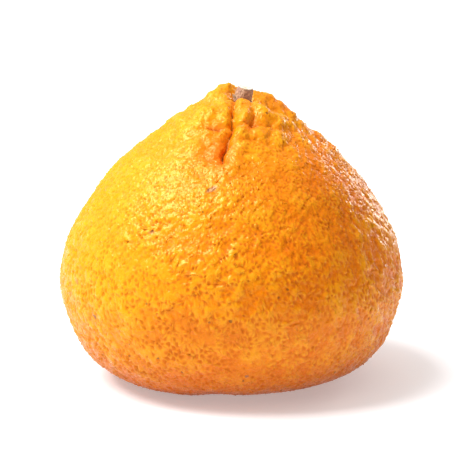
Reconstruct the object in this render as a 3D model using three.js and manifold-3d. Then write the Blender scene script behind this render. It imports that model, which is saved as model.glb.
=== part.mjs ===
// Tangelo with a raised, folded neck and a cut stalk.
// Units are millimetres and +Z is up. The fruit rests on a small flat spot at
// Z = 0, its stalk end is up, and the origin is the centre of the footprint of
// its bounding box. The front of the fruit, where the deep neck crease runs,
// faces -Y.
import * as THREE from 'three';
import { mergeVertices } from 'three/addons/utils/BufferGeometryUtils.js';
import Module from 'manifold-3d';

// ---------------------------------------------------------------- dimensions
const CORE_HEIGHT = 33;          // height of the centre that every radius is taken from
const RADIUS = [                 // radius at polar angles 0, 10 ... 180 degrees from the stalk axis
  41.9, 40.55, 39.4, 37.95, 37.72, 37.9, 38.5, 39.5, 41.4, 43.25,
  44.95, 45.2, 45.45, 44.3, 41.3, 37.9, 35.05, 33.6, 33.3];
const LEAN = [0, 0, 0.14, 0, -0.27, -0.25, -0.34, -0.5, -0.1, 0]; // left to right difference, every 20 degrees
const OVAL = 0.7;                // how much wider the fruit is across X than along Y, as a radius
const FACETS = 19;               // subdivision of the rind surface
const NECK_DENSITY = 0.45;       // how far the facets are drawn together towards the neck

// Folds and swellings of the rind. Every point is [polar angle, azimuth,
// height, width on the left, width on the right]: angles in degrees, lengths
// in mm, and a negative height is a hollow. A 'fold' is a sharp cleft between
// two rounded lips, a 'soft' one is a smooth ridge or valley.
const RELIEF = [
  ['fold', [[4.6, -79.9, -1.2, 1.6, 1.6], [9.1, -88.3, -2.6, 2.4, 2.0], [14.6, -89.5, -3.0, 2.6, 2.0],
    [18.8, -89.6, -3.0, 2.6, 2.0], [23.0, -92.1, -3.2, 3.2, 2.0], [26.3, -94.4, -3.8, 4.2, 2.2],
    [30.2, -95.8, -4.2, 5.0, 2.2], [34.3, -96.6, -3.8, 5.0, 2.2], [37.6, -97.0, -2.4, 4.5, 2.0],
    [39.9, -97.9, -0.2, 3.0, 2.0]]],                                        // deep front crease
  ['soft', [[24.0, -100.4, -0.3, 2.5, 2.5], [30.9, -102.9, -0.8, 3, 3], [37.1, -103.0, -1.2, 3.2, 3.2],
    [42.0, -104.0, -1.1, 3.0, 3.0], [45.4, -106.4, -0.8, 2.8, 2.8], [48.8, -109.2, -0.2, 2.5, 2.5]]], // valley left of it
  ['soft', [[22.5, -84.3, 0.5, 1.8, 1.8], [26.3, -86.8, 0.9, 2.0, 2.0], [30.7, -89.0, 1.1, 2.2, 2.2],
    [35.3, -90.8, 1.0, 2.2, 2.2], [39.4, -91.9, 0.8, 2.4, 2.4], [42.2, -95.2, 0.4, 2.4, 2.4]]],       // lip right of it
  ['fold', [[3.8, -88.1, -1.6, 2, 2], [4.9, -126.6, -1.9, 2.4, 2.4], [6.9, -150.8, -1.6, 2.4, 2.4],
    [9.7, -163.0, -1.2, 2.2, 2.2], [13.1, -165.6, -0.6, 2, 2], [16.6, -158.9, -0.1, 2, 2]]],          // left cleft
  ['fold', [[20.4, -92.3, -0.6, 1.6, 1.6], [21.8, -99.3, -1.2, 2, 2], [22.4, -106.1, -1.7, 2.6, 2.6],
    [22.4, -112.3, -1.7, 2.6, 2.6], [22.0, -119.4, -1.1, 2.2, 2.2], [20.2, -130.1, -0.3, 2, 2]]],     // fold under the left knob
  ['fold', [[7.4, -30.2, -0.5, 1.4, 1.4], [10.9, -55.5, -0.8, 2.0, 2.0], [15.9, -61.0, -1.0, 2.2, 2.2],
    [20.2, -67.4, -1.4, 2.4, 2.4], [24.2, -73.9, -0.7, 2, 2], [28.0, -77.1, -0.2, 2, 2]]],            // right cleft
  ['fold', [[20.5, -69.7, -1.3, 1.8, 1.8], [22.2, -60.0, -1.5, 2.2, 2.2], [22.6, -49.8, -1.3, 2.2, 2.2],
    [21.8, -35.2, -0.4, 1.8, 1.8]]],                                        // fold under the right lobe
  ['fold', [[19.6, -89.6, -1.3, 1.8, 1.8], [21.0, -80.8, -1.2, 2.0, 2.0], [20.5, -69.7, -1.4, 1.8, 1.8]]],
  ['soft', [[10.9, 11.3, -1.6, 2.2, 2.2], [16.0, 4.2, -2.6, 2.6, 2.6], [22.5, 0.8, -3.0, 2.8, 2.8],
    [31.6, 0.9, -2.6, 2.8, 2.8], [41.0, 3.4, -1.9, 2.8, 2.8], [54.2, 8.3, -0.6, 2.6, 2.6]]],          // valley down the right shoulder
  ['soft', [[14.4, -17.5, 0.3, 1.3, 1.3], [19.7, -18.8, 0.7, 1.3, 1.3], [24.3, -20.5, 0.8, 1.3, 1.3],
    [33.1, -15.6, 0.6, 1.4, 1.4], [42.7, -8.4, 0.4, 1.4, 1.4], [51.4, -3.8, 0.1, 1.4, 1.4]]],         // its front rim
  ['soft', [[11.6, 42.5, 2.4, 2.6, 2.6], [16.8, 34.4, 2.8, 2.8, 2.8], [22.1, 26.2, 2.2, 2.6, 2.6],
    [26.7, 22.1, 1.0, 2.4, 2.4], [32.1, 20.2, 0.4, 2.4, 2.4], [46.8, 21.0, 0.5, 3, 3]]],              // right rear ridge
  ['soft', [[24.6, 14.5, 0.9, 1.5, 1.5], [27.2, 11.5, 0.1, 1.5, 1.5], [31.0, 13.5, 0.8, 1.7, 1.7],
    [34.4, 11.5, 0.1, 1.5, 1.5], [38.2, 12.5, 0.5, 1.6, 1.6], [41.6, 10.5, 0.2, 1.6, 1.6],
    [45.4, 11.0, 0.9, 1.9, 1.9], [49.0, 9.5, 0.1, 1.9, 1.9]]],              // bumps on that ridge
  ['soft', [[6.9, 148.2, 2.0, 2.8, 2.8], [7.1, 115.6, 3.6, 3.0, 3.0], [10.7, 94.6, 2.0, 3.0, 3.0]]],  // tall left rear lobe
  ['soft', [[12.0, -107.4, 1.2, 2.2, 2.2], [14.0, -122.4, 1.9, 2.8, 2.8], [15.0, -140.5, 1.1, 2.8, 2.8]]], // left knob
  ['soft', [[8.2, -67.8, 1.2, 1.8, 1.8], [12.8, -73.0, 1.7, 2.1, 2.1], [16.6, -75.6, 1.0, 1.7, 1.7]]],     // front lobe
  ['soft', [[11.8, -42.1, 1.2, 2.0, 2.0], [16.4, -47.1, 1.9, 2.5, 2.5], [19.4, -40.2, 1.2, 2.3, 2.3]]],    // right lobe
  ['soft', [[25.3, -62.5, 0.6, 2.2, 2.2], [25.7, -51.1, 0.4, 2.2, 2.2]]],
  ['soft', [[32.0, -76.3, -0.2, 2.5, 2.5], [37.6, -80.0, -0.4, 3, 3], [44.1, -85.1, -0.2, 3, 3]]],
  ['fold', [[7.6, 48.0, -1.4, 1.8, 1.8], [11.2, 62.8, -2.4, 2.6, 2.6], [16.4, 69.6, -2.2, 2.6, 2.6],
    [23.0, 72.4, -1.2, 2.4, 2.4], [30.7, 73.7, -0.2, 2, 2]]],               // rear cleft
  ['fold', [[9.0, 138.8, -1.0, 1.8, 1.8], [14.3, 145.7, -1.6, 2.4, 2.4], [20.4, 149.3, -1.3, 2.4, 2.4],
    [28.8, 147.7, -0.3, 2, 2]]],                                            // left rear cleft
  ['soft', [[20.1, 129.0, 1.0, 3.0, 3.0], [21.3, 108.4, 1.2, 3.0, 3.0]]],
  ['soft', [[22.8, 55.8, 0.9, 3.2, 3.2], [24.3, 41.2, 0.6, 3, 3]]],
  ['fold', [[25.9, 124.5, -0.3, 2, 2], [28.0, 107.9, -1.1, 2.2, 2.2], [28.3, 92.5, -0.9, 2.2, 2.2],
    [27.0, 78.4, -0.3, 2, 2]]],                                             // cross fold at the rear
  ['soft', [[122, -100, -0.15, 3, 3], [135, -100, -0.5, 3.2, 3.2], [144, -99, -0.5, 3.2, 3.2],
    [152, -97, -0.2, 3, 3]]],                                               // low hollow at the front foot
  ['soft', [[118, 62, -0.2, 4, 4], [132, 58, -0.6, 4, 4], [146, 60, -0.3, 4, 4]]],
  ['soft', [[112, 152, -0.2, 4, 4], [128, 156, -0.5, 4, 4], [144, 150, -0.3, 4, 4]]],
];
// Broad unevenness of the rind: [height, frequency and phase along one
// direction, frequency and phase along another].
const SWELL = [
  [0.28, 'x', 5.0, 1.0, 'z', 4.3, 2.0], [0.24, 'y', 6.1, 0.5, 'x', 4.7, -1.3], [0.18, 'z', 8.3, 0.2, 'y', 7.1, 2.6]];

const STALK_AT = [2.9, 0.4];     // where the stalk leaves the fruit, off the axis
const SEAT_RADIUS = 4.8;         // hollow in the neck round the stalk
const SEAT_DEPTH = 3.3;
const BUTTON_Z = 72.4;           // calyx button: height of its middle
const BUTTON_RADIUS = 2.9;
const BUTTON_THICKNESS = 0.75;   // half thickness at the middle
const BUTTON_POINTS = 5;         // dried sepals
const SEPAL_RISE = 1.5;          // how steeply the sepal beside the stalk stands up
const STALK_BASE_Z = 72.9;
const STALK_LENGTH = 4.15;
const STALK_OFFSET = -0.5;      // foot of the stalk from the middle of the button, to the left
const CUT_SLOPE = 0.08;          // how much the cut rises to the right, against the lean
const STALK_RADIUS = [2.4, 2.1]; // at the button and at the cut
const STALK_LEAN = [16, 5];      // degrees to the right and to the front
const GAP = 0.3;                 // clearance between pieces that meet
const FOLD_ROUND = 0.6;          // how far the bottom of a fold is rounded out

// ------------------------------------------------------------------- surface
const RAD = Math.PI / 180;
const CORE = new THREE.Vector3(0, 0, CORE_HEIGHT);

// Smooth curve through evenly spaced values, flat at both ends.
function through(values, x) {
  const n = values.length;
  const i = Math.min(Math.max(Math.floor(x), 0), n - 2), t = x - i;
  const at = (k) => values[k < 0 ? 1 : k > n - 1 ? n - 2 : k];
  const [a, b, c, d] = [at(i - 1), at(i), at(i + 1), at(i + 2)];
  return 0.5 * (2 * b + (c - a) * t + (2 * a - 5 * b + 4 * c - d) * t * t + (3 * b - a - 3 * c + d) * t * t * t);
}

function direction(polar, azimuth) {
  return new THREE.Vector3(
    Math.sin(polar * RAD) * Math.cos(azimuth * RAD),
    Math.sin(polar * RAD) * Math.sin(azimuth * RAD), Math.cos(polar * RAD));
}

// The fruit before any fold: a turned outline, slightly oval and lop-sided.
function outline(d) {
  const polar = Math.acos(THREE.MathUtils.clamp(d.z, -1, 1)) / RAD;
  const azimuth = Math.atan2(d.y, d.x), s = Math.sin(polar * RAD);
  const r = through(RADIUS, polar / 10) + Math.cos(azimuth) * through(LEAN, polar / 20)
    + OVAL * Math.cos(2 * azimuth) * s * s;
  return d.clone().multiplyScalar(r).add(CORE);
}

// Each row of RELIEF as points on that outline, rounded into a curve.
const LINES = RELIEF.map(([kind, rows]) => {
  const points = [];
  const steps = 3;
  for (let i = 0; i < rows.length - 1; i += 1) {
    for (let k = 0; k < steps; k += 1) {
      const f = i + k / steps;
      points.push(f);
    }
  }
  points.push(rows.length - 1);
  const curve = new THREE.CatmullRomCurve3(rows.map(([p, a]) => outline(direction(p, a))), false, 'catmullrom', 0.5);
  return {
    kind,
    nodes: points.map((f) => {
      const i = Math.min(Math.floor(f), rows.length - 2), t = f - i;
      const mix = (k) => rows[i][k] + (rows[i + 1][k] - rows[i][k]) * t;
      return { at: curve.getPoint(f / (rows.length - 1)), height: mix(2), left: mix(3), right: mix(4) };
    }),
  };
});

// Height added to the outline at a point of it.
function relief(point) {
  let total = 0;
  const ab = new THREE.Vector3(), ap = new THREE.Vector3(), mid = new THREE.Vector3();
  for (const { kind, nodes } of LINES) {
    let best = Infinity, height = 0, width = 1;
    for (let i = 0; i < nodes.length - 1; i += 1) {
      const a = nodes[i], b = nodes[i + 1];
      ab.subVectors(b.at, a.at);
      ap.subVectors(point, a.at);
      const t = THREE.MathUtils.clamp(ap.dot(ab) / ab.lengthSq(), 0, 1);
      const away = ap.distanceTo(mid.copy(ab).multiplyScalar(t));
      if (away >= best) continue;
      best = away;
      height = a.height + (b.height - a.height) * t;
      mid.addVectors(a.at, b.at).multiplyScalar(0.5).sub(CORE);
      const side = ab.clone().cross(ap).dot(mid) / (ab.length() * mid.length());
      const left = 1 / (1 + Math.exp(-side / 0.3));
      width = (a.right + (b.right - a.right) * t) * (1 - left) + (a.left + (b.left - a.left) * t) * left;
    }
    if (kind === 'fold') {
      const u = Math.min((Math.hypot(best, FOLD_ROUND) - 0.4 * FOLD_ROUND) / width, 1);
      total += height * (1 - Math.sqrt(Math.max(1 - (1 - u) ** 2, 0)));
    } else {
      total += height * Math.exp(-0.5 * (best / width) ** 2);
    }
  }
  if (point.z > 50) {
    const s = Math.hypot(point.x - STALK_AT[0], point.y - STALK_AT[1]) / SEAT_RADIUS;
    total -= SEAT_DEPTH * Math.max(1 - s * s, 0) ** 0.8;
  }
  return total;
}

function swell(d) {
  const fade = THREE.MathUtils.smoothstep(-d.z, -0.75, 0.1) * (1 - THREE.MathUtils.smoothstep(-d.z, 0.8, 0.97));
  let total = 0;
  for (const [height, u, fu, pu, v, fv, pv] of SWELL) {
    total += height * Math.sin(fu * d[u] + pu) * Math.sin(fv * d[v] + pv);
  }
  return total * fade;
}

function rind(d) {
  const p = outline(d);
  return p.addScaledVector(d, relief(p) + swell(d));
}

// ------------------------------------------------------------------ geometry
function welded(geometry) {
  geometry.deleteAttribute('normal');
  geometry.deleteAttribute('uv');
  return mergeVertices(geometry, 1e-5);
}

function displaced(geometry, move) {
  const welding = welded(geometry);
  const pos = welding.attributes.position, v = new THREE.Vector3();
  for (let i = 0; i < pos.count; i += 1) {
    v.fromBufferAttribute(pos, i);
    const p = move(v);
    pos.setXYZ(i, p.x, p.y, p.z);
  }
  return welding;
}

function fruitGeometry() {
  return displaced(new THREE.IcosahedronGeometry(1, FACETS), (v) => {
    v.normalize();
    const polar = Math.acos(THREE.MathUtils.clamp(v.z, -1, 1));
    const drawn = polar - NECK_DENSITY * Math.sin(polar) * (1 + Math.cos(polar)) / 2;
    return rind(direction(drawn / RAD, Math.atan2(v.y, v.x) / RAD));
  });
}

// Five dried sepals round a flat button. One of them stands up beside the stalk.
function buttonGeometry(grow) {
  return displaced(new THREE.IcosahedronGeometry(1, 6), (v) => {
    v.normalize();
    const azimuth = Math.atan2(v.y, v.x);
    const flat = Math.hypot(v.x, v.y);
    const points = Math.abs(Math.cos(BUTTON_POINTS / 2 * (azimuth - 205 * RAD)));
    const aside = ((azimuth + 155 * RAD + 3 * Math.PI) % (2 * Math.PI)) - Math.PI;
    const standing = Math.exp(-((aside / 0.42) ** 2));
    const reach = BUTTON_RADIUS * (0.86 + 0.3 * points ** 1.4) + 0.35 * Math.sin(3 * azimuth + 1) * 0.4 + grow;
    const out = reach * flat ** 0.8;
    const share = out / BUTTON_RADIUS;
    const half = (BUTTON_THICKNESS * (1 - 0.45 * share * share * 0.8) + grow);
    const z = BUTTON_Z + v.z * Math.max(half, 0.28 + grow) + 0.3 * share * share + SEPAL_RISE * standing * Math.max(share - 0.45, 0) ** 1.3;
    return new THREE.Vector3(STALK_AT[0] + out * Math.cos(azimuth), STALK_AT[1] + out * Math.sin(azimuth), z);
  });
}

// Short woody stalk, cut square across, leaning to the right.
function stalkGeometry(grow) {
  const [r0, r1] = STALK_RADIUS, h = STALK_LENGTH + grow;
  const profile = [[0, -grow], [r0 * 0.6 + grow * 0.6, -grow], [r0 * 0.96 + grow, -grow * 0.6], [r0 * 1.02 + grow, 0.5],
    [r0 * 0.98 + grow, 1.3], [r0 * 0.95 + grow, 2.3], [r1 * 1.02 + grow, 3.1], [r1 + grow, h - 0.28], [r1 * 0.93 + grow, h],
    [r1 * 0.5, h + 0.05], [0, h]].map(([x, y]) => new THREE.Vector2(x, y));
  const geometry = new THREE.LatheGeometry(profile, 28);
  const lean = new THREE.Euler(STALK_LEAN[1] * RAD, STALK_LEAN[0] * RAD, 0, 'YXZ');
  return displaced(geometry, (v) => {
    const azimuth = Math.atan2(-v.z, v.x), r = Math.hypot(v.x, v.z);
    const uneven = 1 + 0.035 * Math.sin(3 * azimuth + 0.6) + 0.025 * Math.sin(5 * azimuth + 2 + v.y * 0.4);
    const p = new THREE.Vector3(r * uneven * Math.cos(azimuth), r * uneven * Math.sin(azimuth), v.y);
    p.z += CUT_SLOPE * p.x * Math.max(0, (v.y - 1) / (STALK_LENGTH - 1));
    return p.applyEuler(lean).add(new THREE.Vector3(STALK_AT[0] + STALK_OFFSET, STALK_AT[1], STALK_BASE_Z));
  });
}

const wasm = await Module();
wasm.setup();

function solid(geometry) {
  return new wasm.Manifold(new wasm.Mesh({
    numProp: 3,
    vertProperties: new Float32Array(geometry.attributes.position.array),
    triVerts: new Uint32Array(geometry.index.array),
  }));
}

function geometryOf(manifold) {
  const mesh = manifold.getMesh();
  const geometry = new THREE.BufferGeometry();
  geometry.setAttribute('position', new THREE.BufferAttribute(new Float32Array(mesh.vertProperties), 3));
  geometry.setIndex(new THREE.BufferAttribute(new Uint32Array(mesh.triVerts), 1));
  geometry.computeVertexNormals();
  return geometry;
}

const stalk = solid(stalkGeometry(0));
const stalkRoom = solid(stalkGeometry(GAP));
const button = solid(buttonGeometry(0)).subtract(stalkRoom);
const buttonRoom = solid(buttonGeometry(GAP));
const fruit = solid(fruitGeometry())
  .subtract(buttonRoom)
  .subtract(stalkRoom)
  .trimByPlane([0, 0, 1], 0);

function mesh(name, body, color, roughness) {
  const node = new THREE.Mesh(geometryOf(body), new THREE.MeshStandardMaterial({ color, roughness, metalness: 0 }));
  node.name = name;
  return node;
}

const tangelo = new THREE.Group();
tangelo.name = 'tangelo';
tangelo.add(
  mesh('fruit', fruit, 0xf09a1c, 0.42),
  mesh('calyx', button, 0x9a8c66, 0.8),
  mesh('stalk', stalk, 0x8a6a45, 0.85),
);

// The origin is the centre of the footprint.
const box = new THREE.Box3().setFromObject(tangelo);
for (const node of tangelo.children) {
  node.geometry.translate(-(box.min.x + box.max.x) / 2, -(box.min.y + box.max.y) / 2, -box.min.z);
}

export default tangelo;
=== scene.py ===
import math
import bpy
import bmesh
import numpy as np
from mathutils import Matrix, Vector


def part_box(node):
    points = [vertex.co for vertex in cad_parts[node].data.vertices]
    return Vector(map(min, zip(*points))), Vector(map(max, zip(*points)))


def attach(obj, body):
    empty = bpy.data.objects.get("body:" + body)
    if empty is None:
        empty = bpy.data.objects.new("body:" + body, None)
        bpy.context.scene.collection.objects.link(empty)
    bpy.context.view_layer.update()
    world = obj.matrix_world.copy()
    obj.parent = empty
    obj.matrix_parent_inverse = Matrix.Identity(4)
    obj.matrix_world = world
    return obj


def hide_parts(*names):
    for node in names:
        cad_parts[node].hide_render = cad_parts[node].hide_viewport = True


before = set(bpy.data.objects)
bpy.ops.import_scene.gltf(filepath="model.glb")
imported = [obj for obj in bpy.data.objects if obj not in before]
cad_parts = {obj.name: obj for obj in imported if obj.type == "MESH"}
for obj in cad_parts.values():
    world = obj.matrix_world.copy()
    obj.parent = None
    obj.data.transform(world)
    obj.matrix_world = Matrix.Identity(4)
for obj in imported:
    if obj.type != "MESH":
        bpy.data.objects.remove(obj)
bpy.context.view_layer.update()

MM = 0.001
rng = np.random.default_rng(20417)

# ------------------------------------------------------------------ the fruit
# The same surface as the CAD solid, in millimetres, before its final shift.
CORE_HEIGHT = 33.0
RADIUS = np.array([
    41.9, 40.55, 39.4, 37.95, 37.72, 37.9, 38.5, 39.5, 41.4, 43.25,
    44.95, 45.2, 45.45, 44.3, 41.3, 37.9, 35.05, 33.6, 33.3])
LEAN = np.array([0, 0, 0.14, 0, -0.27, -0.25, -0.34, -0.5, -0.1, 0])
OVAL = 0.7
STALK_AT = (2.9, 0.4)
SEAT_RADIUS = 4.8
SEAT_DEPTH = 3.3
FOLD_ROUND = 0.16

RELIEF = [
    ["fold", "main", [[4.6, -79.9, -1.2, 1.6, 1.6], [9.1, -88.3, -2.6, 2.4, 2.0], [14.6, -89.5, -3.0, 2.6, 2.0],
        [18.8, -89.6, -3.0, 2.6, 2.0], [23.0, -92.1, -3.2, 3.2, 2.0], [26.3, -94.4, -3.8, 4.2, 2.2],
        [30.2, -95.8, -4.2, 5.0, 2.2], [34.3, -96.6, -3.8, 5.0, 2.2], [37.6, -97.0, -2.4, 4.5, 2.0],
        [39.9, -97.9, -0.2, 3.0, 2.0]]],
    ["soft", "", [[24.0, -100.4, -0.3, 2.5, 2.5], [30.9, -102.9, -0.8, 3, 3], [37.1, -103.0, -1.2, 3.2, 3.2],
        [42.0, -104.0, -1.1, 3.0, 3.0], [45.4, -106.4, -0.8, 2.8, 2.8], [48.8, -109.2, -0.2, 2.5, 2.5]]],
    ["soft", "", [[22.5, -84.3, 0.5, 1.8, 1.8], [26.3, -86.8, 0.9, 2.0, 2.0], [30.7, -89.0, 1.1, 2.2, 2.2],
        [35.3, -90.8, 1.0, 2.2, 2.2], [39.4, -91.9, 0.8, 2.4, 2.4], [42.2, -95.2, 0.4, 2.4, 2.4]]],
    ["fold", "left", [[3.8, -88.1, -1.6, 2, 2], [4.9, -126.6, -1.9, 2.4, 2.4], [6.9, -150.8, -1.6, 2.4, 2.4],
        [9.7, -163.0, -1.2, 2.2, 2.2], [13.1, -165.6, -0.6, 2, 2], [16.6, -158.9, -0.1, 2, 2]]],
    ["fold", "knob", [[20.4, -92.3, -0.6, 1.6, 1.6], [21.8, -99.3, -1.2, 2, 2], [22.4, -106.1, -1.7, 2.6, 2.6],
        [22.4, -112.3, -1.7, 2.6, 2.6], [22.0, -119.4, -1.1, 2.2, 2.2], [20.2, -130.1, -0.3, 2, 2]]],
    ["fold", "right", [[7.4, -30.2, -0.5, 1.4, 1.4], [10.9, -55.5, -0.8, 2.0, 2.0], [15.9, -61.0, -1.0, 2.2, 2.2],
        [20.2, -67.4, -1.4, 2.4, 2.4], [24.2, -73.9, -0.7, 2, 2], [28.0, -77.1, -0.2, 2, 2]]],
    ["fold", "lobe", [[20.5, -69.7, -1.3, 1.8, 1.8], [22.2, -60.0, -1.5, 2.2, 2.2], [22.6, -49.8, -1.3, 2.2, 2.2],
        [21.8, -35.2, -0.4, 1.8, 1.8]]],
    ["fold", "front", [[19.6, -89.6, -1.3, 1.8, 1.8], [21.0, -80.8, -1.2, 2.0, 2.0], [20.5, -69.7, -1.4, 1.8, 1.8]]],
    ["soft", "", [[10.9, 11.3, -1.6, 2.2, 2.2], [16.0, 4.2, -2.6, 2.6, 2.6], [22.5, 0.8, -3.0, 2.8, 2.8],
        [31.6, 0.9, -2.6, 2.8, 2.8], [41.0, 3.4, -1.9, 2.8, 2.8], [54.2, 8.3, -0.6, 2.6, 2.6]]],
    ["soft", "", [[14.4, -17.5, 0.3, 1.3, 1.3], [19.7, -18.8, 0.7, 1.3, 1.3], [24.3, -20.5, 0.8, 1.3, 1.3],
        [33.1, -15.6, 0.6, 1.4, 1.4], [42.7, -8.4, 0.4, 1.4, 1.4], [51.4, -3.8, 0.1, 1.4, 1.4]]],
    ["soft", "", [[11.6, 42.5, 2.4, 2.6, 2.6], [16.8, 34.4, 2.8, 2.8, 2.8], [22.1, 26.2, 2.2, 2.6, 2.6],
        [26.7, 22.1, 1.0, 2.4, 2.4], [32.1, 20.2, 0.4, 2.4, 2.4], [46.8, 21.0, 0.5, 3, 3]]],
    ["soft", "", [[24.6, 14.5, 0.9, 1.5, 1.5], [27.2, 11.5, 0.1, 1.5, 1.5], [31.0, 13.5, 0.8, 1.7, 1.7],
        [34.4, 11.5, 0.1, 1.5, 1.5], [38.2, 12.5, 0.5, 1.6, 1.6], [41.6, 10.5, 0.2, 1.6, 1.6],
        [45.4, 11.0, 0.9, 1.9, 1.9], [49.0, 9.5, 0.1, 1.9, 1.9]]],
    ["soft", "", [[6.9, 148.2, 2.0, 2.8, 2.8], [7.1, 115.6, 3.6, 3.0, 3.0], [10.7, 94.6, 2.0, 3.0, 3.0]]],
    ["soft", "", [[12.0, -107.4, 1.2, 2.2, 2.2], [14.0, -122.4, 1.9, 2.8, 2.8], [15.0, -140.5, 1.1, 2.8, 2.8]]],
    ["soft", "", [[8.2, -67.8, 1.2, 1.8, 1.8], [12.8, -73.0, 1.7, 2.1, 2.1], [16.6, -75.6, 1.0, 1.7, 1.7]]],
    ["soft", "", [[11.8, -42.1, 1.2, 2.0, 2.0], [16.4, -47.1, 1.9, 2.5, 2.5], [19.4, -40.2, 1.2, 2.3, 2.3]]],
    ["soft", "", [[25.3, -62.5, 0.6, 2.2, 2.2], [25.7, -51.1, 0.4, 2.2, 2.2]]],
    ["soft", "", [[32.0, -76.3, -0.2, 2.5, 2.5], [37.6, -80.0, -0.4, 3, 3], [44.1, -85.1, -0.2, 3, 3]]],
    ["fold", "rear", [[7.6, 48.0, -1.4, 1.8, 1.8], [11.2, 62.8, -2.4, 2.6, 2.6], [16.4, 69.6, -2.2, 2.6, 2.6],
        [23.0, 72.4, -1.2, 2.4, 2.4], [30.7, 73.7, -0.2, 2, 2]]],
    ["fold", "rearleft", [[9.0, 138.8, -1.0, 1.8, 1.8], [14.3, 145.7, -1.6, 2.4, 2.4], [20.4, 149.3, -1.3, 2.4, 2.4],
        [28.8, 147.7, -0.3, 2, 2]]],
    ["soft", "", [[20.1, 129.0, 1.0, 3.0, 3.0], [21.3, 108.4, 1.2, 3.0, 3.0]]],
    ["soft", "", [[22.8, 55.8, 0.9, 3.2, 3.2], [24.3, 41.2, 0.6, 3, 3]]],
    ["fold", "rearcross", [[25.9, 124.5, -0.3, 2, 2], [28.0, 107.9, -1.1, 2.2, 2.2], [28.3, 92.5, -0.9, 2.2, 2.2],
        [27.0, 78.4, -0.3, 2, 2]]],
    ["soft", "", [[122, -100, -0.15, 3, 3], [135, -100, -0.5, 3.2, 3.2], [144, -99, -0.5, 3.2, 3.2],
        [152, -97, -0.2, 3, 3]]],
    ["soft", "", [[118, 62, -0.2, 4, 4], [132, 58, -0.6, 4, 4], [146, 60, -0.3, 4, 4]]],
    ["soft", "", [[112, 152, -0.2, 4, 4], [128, 156, -0.5, 4, 4], [144, 150, -0.3, 4, 4]]],
]
SWELL = [
    (0.28, 0, 5.0, 1.0, 2, 4.3, 2.0), (0.24, 1, 6.1, 0.5, 0, 4.7, -1.3), (0.18, 2, 8.3, 0.2, 1, 7.1, 2.6)]


def through(values, x):
    n = len(values)
    v = np.concatenate([[values[1]], values, [values[-2]]])
    i = np.clip(np.floor(x).astype(int), 0, n - 2)
    t = x - i
    a, b, c, d = v[i], v[i + 1], v[i + 2], v[i + 3]
    return 0.5 * (2 * b + (c - a) * t + (2 * a - 5 * b + 4 * c - d) * t * t + (3 * b - a - 3 * c + d) * t ** 3)


def direction(polar, azimuth):
    p, a = np.radians(polar), np.radians(azimuth)
    return np.stack([np.sin(p) * np.cos(a), np.sin(p) * np.sin(a), np.cos(p)], -1)


def outline(d):
    polar = np.degrees(np.arccos(np.clip(d[..., 2], -1, 1)))
    azimuth = np.arctan2(d[..., 1], d[..., 0])
    s = np.sin(np.radians(polar))
    r = through(RADIUS, polar / 10) + np.cos(azimuth) * through(LEAN, polar / 20) + OVAL * np.cos(2 * azimuth) * s * s
    p = d * r[..., None]
    p[..., 2] += CORE_HEIGHT
    return p


def spline(points, f):
    """Catmull-Rom curve with open ends, at f in 0..len-1."""
    p = np.vstack([2 * points[0] - points[1], points, 2 * points[-1] - points[-2]])
    i = min(int(f), len(points) - 2)
    t = f - i
    a, b, c, d = p[i], p[i + 1], p[i + 2], p[i + 3]
    t0, t1 = 0.5 * (c - a), 0.5 * (d - b)
    return b + t0 * t + (-3 * b + 3 * c - 2 * t0 - t1) * t * t + (2 * b - 2 * c + t0 + t1) * t ** 3


LINES = []
for kind, name, rows in RELIEF:
    rows = np.array(rows, float)
    pts = outline(direction(rows[:, 0], rows[:, 1]))
    nodes = []
    for k in range((len(rows) - 1) * 3 + 1):
        f = k / 3
        i = min(int(f), len(rows) - 2)
        m = rows[i, 2:] + (rows[i + 1, 2:] - rows[i, 2:]) * (f - i)
        nodes.append(np.concatenate([spline(pts, f), m]))
    LINES.append((kind, name, np.array(nodes)))


def along(nodes, P):
    """Distance to the line, its height and width there, and the way to it."""
    best = np.full(len(P), 1e9)
    height, width = np.zeros(len(P)), np.ones(len(P))
    vec = np.zeros_like(P)
    core = np.array([0, 0, CORE_HEIGHT])
    for a, b in zip(nodes[:-1], nodes[1:]):
        ab = b[:3] - a[:3]
        ap = P - a[:3]
        t = np.clip(ap @ ab / (ab @ ab), 0, 1)
        v = ap - t[:, None] * ab
        away = np.linalg.norm(v, axis=1)
        m = away < best
        if not m.any():
            continue
        mid = (a[:3] + b[:3]) / 2 - core
        side = np.cross(ab, ap) @ mid / (np.linalg.norm(ab) * np.linalg.norm(mid))
        left = 1 / (1 + np.exp(-side / 0.3))
        w = (a[5] + (b[5] - a[5]) * t) * (1 - left) + (a[4] + (b[4] - a[4]) * t) * left
        best[m] = away[m]
        height[m] = (a[3] + (b[3] - a[3]) * t)[m]
        width[m] = w[m]
        vec[m] = v[m]
    return best, height, width, vec


def near(nodes, P, reach):
    c = nodes[:, :3].mean(0)
    r = np.linalg.norm(nodes[:, :3] - c, axis=1).max() + reach
    return np.where(np.linalg.norm(P - c, axis=1) < r)[0]


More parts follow.
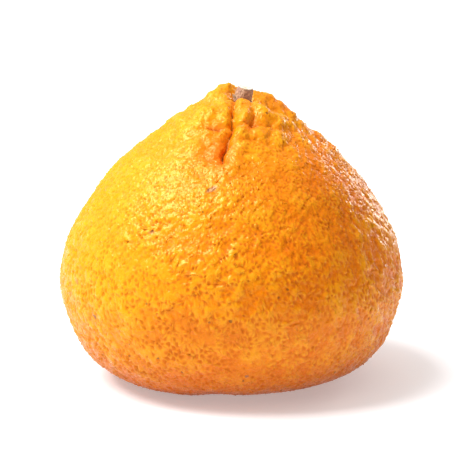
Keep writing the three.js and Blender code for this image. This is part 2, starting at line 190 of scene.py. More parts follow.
def relief(P):
    """Height added at each outline point, and how deep in a fold it is (0 to 1)."""
    total, depth = np.zeros(len(P)), np.zeros(len(P))
    for kind, name, nodes in LINES:
        idx = near(nodes, P, nodes[:, 4:].max() * (1.1 if kind == "fold" else 4))
        if not len(idx):
            continue
        where = P[idx]
        if kind == "fold":
            where = where + 0.55 * np.stack([noise(where / 2.6 + k) for k in (1.7, 23.1, 47.9)], -1)
        best, height, width, _ = along(nodes, where)
        if kind == "fold":
            u = np.minimum((np.hypot(best, FOLD_ROUND) - 0.4 * FOLD_ROUND) / width, 1)
            f = 1 - np.sqrt(np.maximum(1 - (1 - u) ** 2, 0))
            depth[idx] = np.maximum(depth[idx], np.clip(f * np.minimum(-height / 1.5, 1), 0, 1))
        else:
            f = np.exp(-0.5 * (best / width) ** 2)
        total[idx] += height * f
    s = np.hypot(P[:, 0] - STALK_AT[0], P[:, 1] - STALK_AT[1]) / SEAT_RADIUS
    total -= np.where(P[:, 2] > 50, SEAT_DEPTH * np.maximum(1 - s * s, 0) ** 0.8, 0)
    return total, depth


def smoothstep(x, a, b):
    t = np.clip((x - a) / (b - a), 0, 1)
    return t * t * (3 - 2 * t)


def swell(d):
    fade = smoothstep(-d[:, 2], -0.75, 0.1) * (1 - smoothstep(-d[:, 2], 0.8, 0.97))
    total = np.zeros(len(d))
    for h, u, fu, pu, v, fv, pv in SWELL:
        total += h * np.sin(fu * d[:, u] + pu) * np.sin(fv * d[:, v] + pv)
    return total * fade


# ---------------------------------------------------------------------- noise
PERM = np.concatenate([rng.permutation(256)] * 3)
GRAD = rng.normal(size=(256, 3))
GRAD /= np.linalg.norm(GRAD, axis=1, keepdims=True)


def noise(p):
    """Gradient noise of points (N, 3), about -1 to 1, one feature a unit."""
    i = np.floor(p).astype(int)
    f = p - i
    u = f * f * f * (f * (f * 6 - 15) + 10)
    i &= 255
    out = np.zeros(len(p))
    for dx in (0, 1):
        wx = u[:, 0] if dx else 1 - u[:, 0]
        for dy in (0, 1):
            wy = u[:, 1] if dy else 1 - u[:, 1]
            for dz in (0, 1):
                wz = u[:, 2] if dz else 1 - u[:, 2]
                h = PERM[PERM[PERM[(i[:, 0] + dx) & 255] + ((i[:, 1] + dy) & 255)] + ((i[:, 2] + dz) & 255)]
                out += wx * wy * wz * (GRAD[h] * (f - (dx, dy, dz))).sum(1)
    return out * 1.6


def fbm(p, octaves=3, gain=0.5):
    total, amp = np.zeros(len(p)), 1.0
    for k in range(octaves):
        total += amp * noise(p * 2 ** k + 17.3 * k)
        amp *= gain
    return total


def wrinkles(P, centre, spread, run, across, length, pitch):
    """Ridged folds that run along one direction inside a soft patch."""
    run = np.array(run, float)
    run /= np.linalg.norm(run)
    across = np.array(across, float)
    across -= run * (across @ run)
    across /= np.linalg.norm(across)
    third = np.cross(run, across)
    q = P - np.array(centre)
    bend = noise(q / 13.0 + 5.1) * 2.2
    c = np.stack([(q @ run) / length, (q @ across + bend) / pitch, (q @ third) / 9.0], -1)
    ridge = np.exp(-(noise(c) * 2.6) ** 2) * 1.4 - 0.6
    mask = np.exp(-0.5 * ((q / np.array(spread)) ** 2).sum(1)) * smoothstep(noise(q / 6.0 + 40.2), -0.55, 0.25)
    return ridge * mask


# ----------------------------------------------------------- one gland a point
def sphere_points(n):
    k = np.arange(n) + 0.5
    z = 1 - 2 * k / n
    a = math.pi * (1 + 5 ** 0.5) * k
    r = np.sqrt(1 - z * z)
    p = np.stack([r * np.cos(a), r * np.sin(a), z], -1)
    step = math.sqrt(4 * math.pi / n)
    p += rng.normal(size=p.shape) * step * 0.26
    return p / np.linalg.norm(p, axis=1, keepdims=True)


N_GLANDS = 16200
seed_dirs = sphere_points(N_GLANDS)
bm = bmesh.new()
for p in seed_dirs:
    bm.verts.new(p)
bm.verts.ensure_lookup_table()
hull = bmesh.ops.convex_hull(bm, input=bm.verts, use_existing_faces=False)
bmesh.ops.triangulate(bm, faces=bm.faces)
bm.verts.index_update()
glands = np.array([v.co for v in bm.verts])
tris = np.array([[v.index for v in f.verts] for f in bm.faces])
bm.free()
c = glands[tris].mean(1)
n = np.cross(glands[tris[:, 1]] - glands[tris[:, 0]], glands[tris[:, 2]] - glands[tris[:, 0]])
flip = (n * c).sum(1) < 0
tris[flip] = tris[flip][:, ::-1]

# Each triangle of three glands is split in six, through its middle and the
# middles of its sides.
edges = np.sort(np.concatenate([tris[:, [0, 1]], tris[:, [1, 2]], tris[:, [2, 0]]]), 1)
uniq, inv = np.unique(edges, axis=0, return_inverse=True)
inv = inv.reshape(3, -1)
ng, ne, nt = len(glands), len(uniq), len(tris)
mids = glands[uniq].mean(1)
cents = glands[tris].mean(1)
D = np.concatenate([glands, mids, cents])
D /= np.linalg.norm(D, axis=1, keepdims=True)
e01, e12, e20 = ng + inv[0], ng + inv[1], ng + inv[2]
cc = ng + ne + np.arange(nt)
a, b, c3 = tris[:, 0], tris[:, 1], tris[:, 2]
faces = np.concatenate([
    np.stack([a, e01, cc], 1), np.stack([e01, b, cc], 1), np.stack([b, e12, cc], 1),
    np.stack([e12, c3, cc], 1), np.stack([c3, e20, cc], 1), np.stack([e20, a, cc], 1)])
kindv = np.concatenate([np.zeros(ng), np.ones(ne), np.full(nt, 2)])

# Draw the points together towards the neck, then towards the folds.
polar = np.arccos(np.clip(D[:, 2], -1, 1))
azim = np.arctan2(D[:, 1], D[:, 0])
drawn = polar - 0.34 * np.sin(polar) * (1 + np.cos(polar)) / 2
D = direction(np.degrees(drawn), np.degrees(azim))
CORE = np.array([0, 0, CORE_HEIGHT])
P = outline(D)
for kind, name, nodes in LINES:
    if kind != "fold":
        continue
    idx = near(nodes, P, 6)
    best, height, width, vec = along(nodes, P[idx])
    w = np.maximum(width, 1.6) * 1.25
    pull = 0.5 * np.exp(-(best / w) ** 2) * np.clip(-height / 1.0, 0, 1)
    P[idx] -= vec * pull[:, None]
D = P - CORE
D /= np.linalg.norm(D, axis=1, keepdims=True)
P = outline(D)

lift, depth = relief(P)
body = lift + swell(D)
smooth = P + D * body[:, None]
lo, hi = smooth.min(0), smooth.max(0)
box_lo, box_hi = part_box("fruit")
SHIFT = np.array([(box_lo[0] + box_hi[0]) / 2 / MM - (lo[0] + hi[0]) / 2, (box_lo[1] + box_hi[1]) / 2 / MM - (lo[1] + hi[1]) / 2, 0])

# Fine relief: uneven skin, wrinkles, then the pebbling round each gland.
neck = smoothstep(P[:, 2], 58, 68)
foot = smoothstep(-P[:, 2], -9, -2)
lumps = 0.20 * noise(P / 7.0 + 3.3) + 0.13 * noise(P / 3.4 + 9.1) + 0.05 * noise(P / 1.9 + 21.7)
# puffy lumps with narrow creases between them, on the neck only
lumps += neck * (1.75 * np.abs(noise(P / 4.8 + 33.0)) + 0.75 * np.abs(noise(P / 2.4 + 50.0)) + 0.14 * noise(P / 1.2 + 70.0) - 0.62)
wr = np.zeros(len(P))
wr += 0.44 * wrinkles(P, (-8, -38, 41), (19, 16, 12), (0.94, 0, 0.34), (-0.34, 0, 0.94), 4.8, 1.9)
wr += 0.55 * wrinkles(P, (40, -14, 34), (9, 17, 18), (0.5, 0.5, -0.75), (0.6, 0.4, 0.7), 6.0, 2.0)
wr += 0.42 * wrinkles(P, (-32, -26, 22), (12, 14, 11), (0.45, -0.2, -0.86), (0.86, -0.5, 0.45), 6.0, 1.9)
wr += 0.36 * wrinkles(P, (30, 30, 45), (16, 16, 14), (-0.8, 0.6, 0.45), (0.3, 0.2, 0.9), 7.0, 2.5)
wr += 0.34 * wrinkles(P, (-32, 26, 40), (14, 16, 12), (0.6, 0.75, 0.3), (-0.2, -0.2, 0.9), 6.5, 2.2)
wr += 0.28 * wrinkles(P, (0, 41, 22), (16, 14, 10), (0.9, 0.1, -0.35), (0.3, 0, 0.9), 6.0, 2.1)
wr += 0.24 * wrinkles(P, (12, -38, 18), (16, 14, 9), (0.95, 0, 0.25), (-0.25, 0, 0.95), 5.5, 2.2)
# small ripples across the lip of the deep crease, and rings round the neck
lip = np.exp(-0.5 * (((P - (1.0, -17.0, 66.5)) / (2.6, 3.5, 3.2)) ** 2).sum(1))
wr += 0.16 * lip * np.sin(2 * np.pi * (P[:, 2] * 0.92 - P[:, 1] * 0.4 + 0.25 * noise(P / 2.0)) / 0.95)
ring = 0.12 * neck * noise(np.stack([P[:, 0] / 5.0, P[:, 1] / 5.0, P[:, 2] / 1.0], -1) + 12.0)
strength = 1.0 + 0.45 * noise(P / 9.0 + 61.0) + 0.30 * noise(P / 3.1 + 71.0)
strength = np.clip(strength, 0.35, 1.7)
# the skin is smoother on the right of the front
strength *= 1.10 - 0.42 * smoothstep(P[:, 0], -14, 12) * smoothstep(-P[:, 1], 2, 18)
size = 1.0 - 0.25 * neck - 0.35 * foot
cell = rng.normal(size=len(P))
# most points hold a gland, and glands come in all sizes
gland_size = np.where(rng.random(len(P)) < 0.66, rng.uniform(0.55, 1.0, len(P)), rng.uniform(0.0, 0.4, len(P)))
gland_size *= np.clip(0.9 + 0.5 * noise(P / 6.0 + 81.0), 0.4, 1.1)
pit = np.where(kindv == 0, 0.12 - 0.50 * gland_size, np.where(kindv == 1, 0.06, 0.17)) * strength * size
pebble = np.where(kindv == 2, 0.11, np.where(kindv == 1, 0.055, 0.05)) * cell * size
fine = (lumps * (1 - 0.25 * neck) + wr + ring) * (1 - 0.75 * foot) + pit + pebble
fine *= 1 - 0.5 * depth

Q = P + D * (body + fine)[:, None] + SHIFT
Q[:, 2] = np.maximum(Q[:, 2], 0.0)
# The blossom end: a shallow dimple with a small raised scar, in the middle of the underside.
under = np.hypot(P[:, 0] - 0.6, P[:, 1] + 0.4)
dimple = np.where(P[:, 2] < 6, 0.85 * np.exp(-(under / 4.2) ** 2) - 0.42 * np.exp(-(under / 1.3) ** 2), 0.0)
star = 0.12 * np.exp(-(under / 5.5) ** 2) * np.sin(5 * np.arctan2(P[:, 1] + 0.4, P[:, 0] - 0.6)) * (P[:, 2] < 6)
Q[:, 2] += np.maximum(dimple + star, 0.0)

me = bpy.data.meshes.new("rind")
me.vertices.add(len(Q))
me.vertices.foreach_set("co", (Q * MM).astype(np.float32).ravel())
me.loops.add(len(faces) * 3)
me.loops.foreach_set("vertex_index", faces.ravel().astype(np.int32))
me.polygons.add(len(faces))
me.polygons.foreach_set("loop_start", np.arange(0, len(faces) * 3, 3, dtype=np.int32))
me.polygons.foreach_set("loop_total", np.full(len(faces), 3, dtype=np.int32))
me.polygons.foreach_set("use_smooth", np.ones(len(faces), dtype=bool))
me.update(calc_edges=True)


def attribute(mesh, name, values):
    at = mesh.attributes.new(name, "FLOAT", "POINT")
    at.data.foreach_set("value", np.asarray(values, np.float32))


attribute(me, "gland", np.where(kindv == 0, gland_size, 0.0))
attribute(me, "fold", depth)
attribute(me, "raise", np.clip(0.5 + fine / 1.0, 0, 1))
# Painted shade: the valleys beside the neck, darkened through the shade attribute.
neck_valley_shade = np.exp(-0.5 * (((P - (-4.2, -20.5, 63.6)) / (3.4, 5.0, 4.6)) ** 2).sum(1))
neck_valley_shade = np.maximum(neck_valley_shade, 0.8 * np.exp(-0.5 * (((P - (-5.0, -14.0, 69.2)) / (2.2, 1.4, 1.4)) ** 2).sum(1)))
neck_valley_shade = np.maximum(neck_valley_shade, 0.7 * np.exp(-0.5 * (((P - (4.6, -13.5, 69.2)) / (1.6, 4.0, 2.2)) ** 2).sum(1)))
attribute(me, "shade", neck_valley_shade)
attribute(me, "scar", np.where(P[:, 2] < 6, np.exp(-(under / 2.3) ** 2), 0.0))
rind = bpy.data.objects.new("rind", me)
bpy.context.collection.objects.link(rind)
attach(rind, "root")
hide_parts("fruit")


# -------------------------------------------------------------- calyx, stalk
def grid_mesh(name, points, wrap=True, cap_start=None, cap_end=None):
    """A closed skin over a (rings, steps, 3) grid of points in mm."""
    rings, steps = points.shape[:2]
    verts = points.reshape(-1, 3)
    quads = []
    for i in range(rings - 1):
        for j in range(steps):
            k = (j + 1) % steps
            quads.append((i * steps + j, i * steps + k, (i + 1) * steps + k, (i + 1) * steps + j))
    extra = []
    if cap_start is not None:
        c = len(verts) + len(extra)
        extra.append(cap_start)
        quads += [(c, (j + 1) % steps, j) for j in range(steps)]
    if cap_end is not None:
        c = len(verts) + len(extra)
        extra.append(cap_end)
        o = (rings - 1) * steps
        quads += [(c, o + j, o + (j + 1) % steps) for j in range(steps)]
    if extra:
        verts = np.vstack([verts, extra])
    m = bpy.data.meshes.new(name)
    m.from_pydata([tuple(v) for v in (verts * MM)], [], quads)
    m.validate()
    b = bmesh.new()
    b.from_mesh(m)
    bmesh.ops.recalc_face_normals(b, faces=b.faces)
    b.to_mesh(m)
    b.free()
    for p in m.polygons:
        p.use_smooth = True
    o = bpy.data.objects.new(name, m)
    bpy.context.collection.objects.link(o)
    return o, verts


STALK_BASE_Z, STALK_LENGTH = 72.9, 4.15
CUT_SLOPE = 0.08
LEAN_X, LEAN_Y = math.radians(16), math.radians(5)
# The lean: first about X (to the front), then about Y (to the right).
rx = np.array([[1, 0, 0], [0, math.cos(LEAN_Y), -math.sin(LEAN_Y)], [0, math.sin(LEAN_Y), math.cos(LEAN_Y)]])
ry = np.array([[math.cos(LEAN_X), 0, math.sin(LEAN_X)], [0, 1, 0], [-math.sin(LEAN_X), 0, math.cos(LEAN_X)]])
TILT = ry @ rx
FOOT = np.array([STALK_AT[0] - 0.75, STALK_AT[1], STALK_BASE_Z]) + SHIFT

steps = 120
az = np.arange(steps) * 2 * math.pi / steps
rows = []
profile_h = np.concatenate([np.linspace(0, 0.25, 4), np.linspace(0.35, STALK_LENGTH - 0.3, 44), np.linspace(STALK_LENGTH - 0.22, STALK_LENGTH, 5)])
for h in profile_h:
    t = h / STALK_LENGTH
    r = np.interp(h, [0, 0.3, 1.3, 3.4, STALK_LENGTH - 0.3, STALK_LENGTH - 0.1, STALK_LENGTH], [2.15, 2.46, 2.38, 2.16, 2.12, 2.06, 1.95])
    r = r * (1 + 0.035 * np.sin(3 * az + 0.6) + 0.025 * np.sin(5 * az + 2 + h * 0.4))
    p = np.stack([np.cos(az), np.sin(az), np.full(steps, h / 2.1)], -1)
    bark = 0.07 * noise(p * (4.5, 4.5, 1.3) + 3) + 0.06 * noise(p * (9, 9, 3.5) + 7) + 0.05 * noise(p * (17, 17, 14) + 13)
    r = r + bark * np.interp(h, [0, 0.3, STALK_LENGTH - 0.25, STALK_LENGTH], [0.4, 1, 1, 0.3])
    rows.append(np.stack([r * np.cos(az), r * np.sin(az), h + CUT_SLOPE * r * np.cos(az) * max(0.0, (h - 1.0) / (STALK_LENGTH - 1.0))], -1))
edge = rows[-1]
for s in np.linspace(0.95, 0.06, 20):
    ringp = edge * (s, s, 1)
    wobble = 0.05 * noise(np.stack([ringp[:, 0] * 2.2, ringp[:, 1] * 2.2, np.full(steps, 4.4)], -1)) + 0.025 * noise(np.stack([ringp[:, 0] * 7, ringp[:, 1] * 7, np.full(steps, 1.4)], -1))
    rim = 0.10 * math.exp(-((s - 0.86) / 0.08) ** 2) - 0.16 * math.exp(-(s / 0.17) ** 2)
    ringp[:, 2] = STALK_LENGTH + 0.02 + wobble + rim + CUT_SLOPE * ringp[:, 0]
    rows.append(ringp)
grid = np.array(rows)
flat = grid.reshape(-1, 3)
tip = np.array([0, 0, grid[-1, :, 2].mean()])
place = lambda q: q @ TILT.T + FOOT
stalk, sv = grid_mesh("stalk_bark", place(flat).reshape(grid.shape), cap_start=place(np.array([0, 0, 0.0])), cap_end=place(tip))
local = np.vstack([flat, [0, 0, 0], tip])
attribute(stalk.data, "height", local[:, 2] / STALK_LENGTH)
attribute(stalk.data, "cut", np.concatenate([np.zeros(len(profile_h) * steps), np.ones(20 * steps), [0, 1]]))
attribute(stalk.data, "radial", np.hypot(local[:, 0], local[:, 1]) / 2.0)
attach(stalk, "root")
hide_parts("stalk")

BUTTON_Z, BUTTON_RADIUS, BUTTON_THICKNESS = 72.4, 2.9, 0.75


def button_point(azimuth, level):
    """level 0 is the middle of the underside and 1 the middle of the top."""
    t = math.pi * (1 - level)
    v_z, flat_r = math.cos(t), math.sin(t)
    points = np.abs(np.cos(2.5 * (azimuth - math.radians(205))))
    aside = ((azimuth + math.radians(155) + 3 * math.pi) % (2 * math.pi)) - math.pi
    standing = np.exp(-(aside / 0.42) ** 2)
    reach = BUTTON_RADIUS * (0.86 + 0.3 * points ** 1.4) + 0.35 * np.sin(3 * azimuth + 1) * 0.4
    out = reach * max(flat_r, 0) ** 0.8
    share = out / BUTTON_RADIUS
    half = BUTTON_THICKNESS * (1 - 0.36 * share * share)
    z = BUTTON_Z + v_z * np.maximum(half, 0.28) + 0.3 * share * share + 4.6 * standing * np.maximum(share - 0.45, 0) ** 1.3
    p = np.stack([out * np.cos(azimuth), out * np.sin(azimuth), z - BUTTON_Z], -1)
    rough = 0.05 * noise(p * 2.6 + 2) + 0.045 * noise(p * 6.0 + 8)
    p[:, 2] += rough
    return p + np.array([STALK_AT[0], STALK_AT[1], BUTTON_Z]) + SHIFT


steps_c = 110
azc = np.arange(steps_c) * 2 * math.pi / steps_c
levels = np.linspace(0.03, 0.97, 34)
gridc = np.array([button_point(azc, l) for l in levels])
calyx, cv = grid_mesh("calyx_button", gridc, cap_start=gridc[0].mean(0), cap_end=gridc[-1].mean(0))
attribute(calyx.data, "edge", np.concatenate([np.repeat(np.sin(np.pi * levels), steps_c), [0, 0]]))
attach(calyx, "root")
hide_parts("calyx")


# ------------------------------------------------------------------ materials
class Tree:
    """Short calls for building a node material."""

    def __init__(self, name):
        self.mat = bpy.data.materials.new(name)
        self.mat.use_nodes = True
        self.nt = self.mat.node_tree
        self.nt.nodes.clear()
        self.out = self.nt.nodes.new("ShaderNodeOutputMaterial")
        self.bsdf = self.nt.nodes.new("ShaderNodeBsdfPrincipled")
        self.link(self.bsdf.outputs[0], self.out.inputs[0])

    def link(self, a, b):
        self.nt.links.new(a, b)

    def put(self, socket, value):
        if isinstance(value, bpy.types.NodeSocket):
            self.link(value, socket)
        else:
            socket.default_value = value

    def node(self, kind, **props):
        n = self.nt.nodes.new(kind)
        for k, v in props.items():
            setattr(n, k, v)
        return n

    def coords(self):
        return self.node("ShaderNodeTexCoord").outputs["Object"]

    def attr(self, name):
        return self.node("ShaderNodeAttribute", attribute_name=name).outputs["Fac"]

    def noise(self, scale, detail=2.0, rough=0.5, vector=None, distortion=0.0):
        n = self.node("ShaderNodeTexNoise")
        self.put(n.inputs["Vector"], vector or self.coords())
        self.put(n.inputs["Scale"], scale)
        n.inputs["Detail"].default_value = detail
        n.inputs["Roughness"].default_value = rough
        n.inputs["Distortion"].default_value = distortion
        return n.outputs["Fac"]

    def voronoi(self, scale, feature="F1", vector=None, out="Distance", randomness=1.0):
        n = self.node("ShaderNodeTexVoronoi", feature=feature)
        self.put(n.inputs["Vector"], vector or self.coords())
        n.inputs["Scale"].default_value = scale
        n.inputs["Randomness"].default_value = randomness
        return n.outputs[out]

    def math(self, op, a, b=0.0, c=None, clamp=False):
        n = self.node("ShaderNodeMath", operation=op, use_clamp=clamp)
        self.put(n.inputs[0], a)
        self.put(n.inputs[1], b)
        if c is not None:
            self.put(n.inputs[2], c)
        return n.outputs[0]

    def span(self, x, a, b, lo=0.0, hi=1.0, smooth=True):
        n = self.node("ShaderNodeMapRange", interpolation_type="SMOOTHSTEP" if smooth else "LINEAR")
        self.put(n.inputs["Value"], x)
        for k, v in (("From Min", a), ("From Max", b), ("To Min", lo), ("To Max", hi)):
            n.inputs[k].default_value = v
        return n.outputs["Result"]

    def mix(self, fac, a, b, blend="MIX"):
        n = self.node("ShaderNodeMix", data_type="RGBA", blend_type=blend)
        self.put(n.inputs["Factor"], fac)
        self.put([s for s in n.inputs if s.name == "A" and s.type == "RGBA"][0], a)
        self.put([s for s in n.inputs if s.name == "B" and s.type == "RGBA"][0], b)
        return [s for s in n.outputs if s.type == "RGBA"][0]

    def vmath(self, op, a, b=None):
        n = self.node("ShaderNodeVectorMath", operation=op)
        self.put(n.inputs[0], a)
        if b is not None:
            self.put(n.inputs[1], b)
        return n.outputs["Value"] if op in ("LENGTH", "DISTANCE", "DOT_PRODUCT") else n.outputs[0]

    def bump(self, height, distance, strength=1.0, normal=None):
        n = self.node("ShaderNodeBump")
        self.put(n.inputs["Height"], height)
        n.inputs["Distance"].default_value = distance
        n.inputs["Strength"].default_value = strength
        if normal is not None:
            self.link(normal, n.inputs["Normal"])
        return n.outputs[0]


def srgb(r, g, b):
    f = lambda c: (c / 255) / 12.92 if c / 255 <= 0.04045 else ((c / 255 + 0.055) / 1.055) ** 2.4
    return (f(r), f(g), f(b), 1.0)


t = Tree("citrus_rind")
co = t.coords()
# Painted light: a broad tone, more yellow and lighter towards the upper left where the key light falls, deeper orange
# on the right away from it, with a slow noise drift.
side = t.vmath("DOT_PRODUCT", co, (-15.0, 0.0, 12.0))
drift = t.math("ADD", side, t.math("MULTIPLY", t.noise(26.0, 3.0, 0.55), 0.55))
painted_lit_side = t.span(drift, 0.45, 1.60)
base = t.mix(painted_lit_side, (0.72, 0.150, 0.0004, 1), (0.87, 0.360, 0.0020, 1))
patch = t.span(t.noise(85.0, 3.0, 0.6), 0.38, 0.68)
base = t.mix(t.math("MULTIPLY", patch, 0.30), base, (0.86, 0.30, 0.0006, 1))
mottle = t.span(t.noise(420.0, 3.0, 0.6), 0.35, 0.72)
base = t.mix(t.math("MULTIPLY", mottle, 0.28), base, (0.74, 0.165, 0.0004, 1))
# Painted sheen and shade: raised skin is painted paler than the hollows.
painted_sheen_raised = t.span(t.attr("raise"), 0.42, 0.85)
base = t.mix(t.math("MULTIPLY", painted_sheen_raised, 0.42), base, (0.93, 0.44, 0.012, 1))
# Oil glands: a saturated, slightly green spot round each pit, darkest in its middle.
g = t.attr("gland")
halo = t.span(g, 0.12, 0.50)
spotted = t.mix(painted_lit_side, (0.66, 0.132, 0.0003, 1), (0.74, 0.240, 0.0002, 1))
base = t.mix(t.math("MULTIPLY", halo, 0.80), base, spotted)
dot = t.span(g, 0.50, 0.85)
middle = t.mix(painted_lit_side, (0.60, 0.118, 0.0003, 1), (0.62, 0.195, 0.0002, 1))
base = t.mix(t.math("MULTIPLY", dot, 0.60), base, middle)
# Painted shade: deep folds and the neck valleys are painted a darker red orange, and the bottoms of the deepest
# creases near black.
fold = t.span(t.attr("fold"), 0.10, 0.85)
base = t.mix(t.math("MULTIPLY", t.attr("shade"), 0.85), base, (0.74, 0.135, 0.0006, 1))
base = t.mix(t.math("MULTIPLY", fold, 0.60), base, (0.62, 0.100, 0.002, 1))
deep = t.span(t.attr("fold"), 0.42, 0.90)
base = t.mix(t.math("MULTIPLY", deep, 0.92), base, (0.11, 0.020, 0.002, 1))
scar = t.math("MULTIPLY", t.attr("scar"), t.span(t.noise(700.0, 3.0, 0.6), 0.25, 0.6, 0.6, 1.0))
base = t.mix(t.span(scar, 0.25, 0.75), base, (0.17, 0.075, 0.028, 1))
# Painted shade: the skin by the foot is painted a deeper, redder orange, darker towards the floor contact.
height = t.node("ShaderNodeSeparateXYZ")
t.link(co, height.inputs[0])
painted_foot_shade = t.span(t.math("ADD", height.outputs["Z"], t.math("MULTIPLY", t.noise(120.0), 0.006)), 0.020, 0.005)
base = t.mix(t.math("MULTIPLY", painted_foot_shade, 0.74), base, (0.44, 0.074, 0.0004, 1))
# Sparse brown specks of different sizes.
for scale, keep, radius, amount, colour in (
        (430.0, 0.970, 0.20, 0.60, (0.13, 0.045, 0.010, 1)),
        (330.0, 0.980, 0.16, 0.75, (0.09, 0.032, 0.010, 1)),
        (190.0, 0.965, 0.12, 0.75, (0.16, 0.055, 0.014, 1))):
    dist = t.voronoi(scale)
    chosen = t.node("ShaderNodeSeparateColor")
    t.link(t.voronoi(scale, out="Color"), chosen.inputs[0])
    on = t.math("GREATER_THAN", chosen.outputs[0], keep)
    spot = t.math("MULTIPLY", t.span(dist, radius, radius * 0.45), on)
    base = t.mix(t.math("MULTIPLY", spot, amount), base, colour)
# A few scuffs: centre in metres, half lengths in mm, tilt in degrees in the X-Z plane.
warp = t.math("MULTIPLY", t.math("SUBTRACT", t.noise(900.0, 3.0, 0.7), 0.5), 1.6)
scuffs = (((-0.0050, -0.0293, 0.0560), (2.0, 0.55), 25, 0.75), ((-0.0197, -0.0317, 0.0458), (1.1, 0.5), 15, 0.55),
          ((-0.0344, -0.0280, 0.0230), (1.0, 0.5), -60, 0.7), ((-0.0393, -0.0208, 0.0302), (0.8, 0.45), -70, 0.5),
          ((0.0039, -0.0383, 0.0105), (0.6, 0.4), 0, 0.7), ((0.0198, 0.0300, 0.0440), (1.6, 0.6), 35, 0.7),
          ((-0.0240, 0.0330, 0.0300), (0.9, 0.5), -20, 0.6))
for centre, half, tilt, amount in scuffs:
    away = t.vmath("SUBTRACT", co, centre)
    turn = t.node("ShaderNodeVectorRotate", rotation_type="Y_AXIS")
    t.link(away, turn.inputs["Vector"])
    turn.inputs["Angle"].default_value = math.radians(tilt)
    scaled = t.vmath("MULTIPLY", turn.outputs[0], (1000 / half[0], 1000 / 6.0, 1000 / half[1]))
    mark = t.span(t.math("ADD", t.vmath("LENGTH", scaled), warp), 1.15, 0.45)
    base = t.mix(t.math("MULTIPLY", mark, amount), base, (0.20, 0.085, 0.075, 1))
t.put(t.bsdf.inputs["Base Color"], base)
rough = t.math("ADD", t.span(t.noise(900.0, 2.0, 0.6), 0.3, 0.7, 0.24, 0.36), t.math("MULTIPLY", halo, 0.30))
t.put(t.bsdf.inputs["Roughness"], rough)
t.bsdf.inputs["Specular IOR Level"].default_value = 0.46
t.bsdf.inputs["Specular Tint"].default_value = (1.0, 0.82, 0.32, 1)
t.bsdf.inputs["Subsurface Weight"].default_value = 0.10
t.bsdf.inputs["Subsurface Radius"].default_value = (1.0, 0.30, 0.03)
t.bsdf.inputs["Subsurface Scale"].default_value = 0.0018
# Skin grain, rounded pebbles, and creases that run with the wrinkles.
fine_b = t.bump(t.noise(2600.0, 2.0, 0.6), 0.00006, 0.5)
mid_b = t.bump(t.noise(760.0, 1.0, 0.4), 0.00026, 1.0, fine_b)


def grain(angle, stretch, across):
    turn = t.node("ShaderNodeVectorRotate", rotation_type="Y_AXIS")
    t.link(co, turn.inputs["Vector"])
    turn.inputs["Angle"].default_value = math.radians(angle)
    return t.noise(1.0, 1.5, 0.5, t.vmath("MULTIPLY", turn.outputs[0], (stretch, stretch, across)))


xyz = t.node("ShaderNodeSeparateXYZ")
t.link(co, xyz.inputs[0])
wander = t.math("MULTIPLY", t.math("SUBTRACT", t.noise(60.0), 0.5), 0.030)
across_x = t.math("ADD", xyz.outputs["X"], wander)
mixer = t.node("ShaderNodeMix", data_type="FLOAT")
t.put(mixer.inputs["Factor"], t.span(across_x, -0.030, -0.016))
t.put(mixer.inputs[2], grain(-58, 230.0, 760.0))
t.put(mixer.inputs[3], grain(24, 230.0, 760.0))
mixer2 = t.node("ShaderNodeMix", data_type="FLOAT")
t.put(mixer2.inputs["Factor"], t.span(across_x, 0.012, 0.028))
t.link(mixer.outputs[0], mixer2.inputs[2])
t.put(mixer2.inputs[3], grain(-40, 260.0, 640.0))
amount = t.span(t.noise(95.0, 2.0, 0.5), 0.38, 0.62, 0.15, 1.0)
t.put(t.bsdf.inputs["Normal"], t.bump(t.math("MULTIPLY", mixer2.outputs[0], amount), 0.00034, 0.9, mid_b))
me.materials.append(t.mat)

t = Tree("stalk_bark")
co = t.coords()
cut = t.attr("cut")
rad = t.attr("radial")
barkn = t.noise(1500.0, 4.0, 0.7)
bark = t.mix(t.span(barkn, 0.36, 0.66), srgb(138, 98, 74), srgb(206, 166, 134))
bark = t.mix(t.span(t.noise(3000.0, 2.0, 0.5), 0.54, 0.70, 0.0, 0.7), bark, srgb(212, 180, 152))
bark = t.mix(t.span(t.noise(620.0, 2.0, 0.5), 0.50, 0.66, 0.0, 0.55), bark, srgb(170, 128, 118))
wood = t.mix(t.span(t.noise(1300.0, 3.0, 0.6), 0.35, 0.68), srgb(238, 230, 214), srgb(208, 190, 160))
wood = t.mix(t.span(rad, 0.80, 0.96), wood, srgb(150, 118, 84))
wood = t.mix(t.span(rad, 0.22, 0.10), wood, srgb(188, 160, 122))
t.put(t.bsdf.inputs["Base Color"], t.mix(cut, bark, wood))
t.put(t.bsdf.inputs["Roughness"], t.span(barkn, 0.3, 0.7, 0.65, 0.92))
t.put(t.bsdf.inputs["Normal"], t.bump(t.noise(2600.0, 4.0, 0.7), 0.00012, 0.6))
t.bsdf.inputs["Specular IOR Level"].default_value = 0.3
stalk.data.materials.append(t.mat)

t = Tree("dried_calyx")
cn = t.noise(1400.0, 4.0, 0.65)
col = t.mix(t.span(cn, 0.36, 0.66), srgb(150, 140, 112), srgb(216, 208, 190))
col = t.mix(t.span(t.attr("edge"), 0.82, 1.0), col, srgb(188, 172, 140))
col = t.mix(t.span(t.noise(500.0, 2.0, 0.5), 0.54, 0.66, 0.0, 0.7), col, srgb(96, 74, 48))
t.put(t.bsdf.inputs["Base Color"], col)
t.put(t.bsdf.inputs["Roughness"], t.span(cn, 0.3, 0.7, 0.7, 0.95))
t.put(t.bsdf.inputs["Normal"], t.bump(t.noise(2400.0, 3.0, 0.65), 0.0001, 0.6))
t.bsdf.inputs["Specular IOR Level"].default_value = 0.25
calyx.data.materials.append(t.mat)

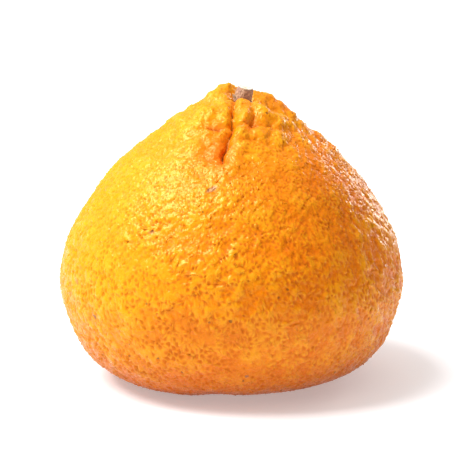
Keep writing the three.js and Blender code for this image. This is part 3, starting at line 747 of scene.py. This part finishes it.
# ---------------------------------------------------------------------- stage
bpy.ops.mesh.primitive_plane_add(size=8.0, location=(0, 0, -0.0002))
floor = bpy.context.object
floor.name = "floor"
t = Tree("pale_floor")
t.bsdf.inputs["Roughness"].default_value = 0.9
t.bsdf.inputs["Base Color"].default_value = (0.72, 0.725, 0.735, 1)
t.bsdf.inputs["Emission Color"].default_value = (1, 1, 1, 1)
t.bsdf.inputs["Emission Strength"].default_value = 0.33
t.bsdf.inputs["Specular IOR Level"].default_value = 0.1
floor.data.materials.append(t.mat)

world = bpy.data.worlds.new("studio")
bpy.context.scene.world = world
world.use_nodes = True
wn = world.node_tree
# The room is brighter towards the upper left than towards the right.
lean = wn.nodes.new("ShaderNodeVectorMath")
lean.operation = "DOT_PRODUCT"
wn.links.new(wn.nodes.new("ShaderNodeTexCoord").outputs["Generated"], lean.inputs[0])
lean.inputs[1].default_value = (-0.52, 0.30, 0.80)
ramp = wn.nodes.new("ShaderNodeMapRange")
wn.links.new(lean.outputs["Value"], ramp.inputs["Value"])
for k, v in (("From Min", -0.35), ("From Max", 0.95), ("To Min", 0.19), ("To Max", 0.88)):
    ramp.inputs[k].default_value = v
wn.links.new(ramp.outputs["Result"], wn.nodes["Background"].inputs[1])
wn.nodes["Background"].inputs[0].default_value = (1, 1, 1, 1)


def softbox(name, at, aim, size, power, colour=(1, 1, 1)):
    light = bpy.data.lights.new(name, "AREA")
    light.shape = "RECTANGLE"
    light.size, light.size_y = size
    light.energy = power
    light.color = colour
    o = bpy.data.objects.new(name, light)
    bpy.context.collection.objects.link(o)
    o.location = at
    o.rotation_euler = (Vector(aim) - Vector(at)).to_track_quat("-Z", "Y").to_euler()
    return o


softbox("key", (-1.35, -0.30, 2.3), (0, 0, 0.04), (1.5, 1.5), 107.0)
softbox("rim", (1.15, 1.7, 0.5), (0, 0, 0.04), (0.35, 0.9), 12.0)

cam_data = bpy.data.cameras.new("camera")
cam = bpy.data.objects.new("camera", cam_data)
bpy.context.collection.objects.link(cam)
bpy.context.scene.camera = cam
el = math.radians(13.0)
aim = Vector((0.00058, 0.0, 0.0381))
back = Vector((0, -math.cos(el), math.sin(el)))
cam.location = aim + back * 0.600
cam.rotation_euler = (-back).to_track_quat("-Z", "Y").to_euler()
cam_data.sensor_width = 36.0
cam_data.lens = 176.1
cam_data.clip_start, cam_data.clip_end = 0.01, 50

scene = bpy.context.scene
scene.view_settings.view_transform = "Standard"
scene.view_settings.look = "None"
scene.view_settings.exposure = 0.0
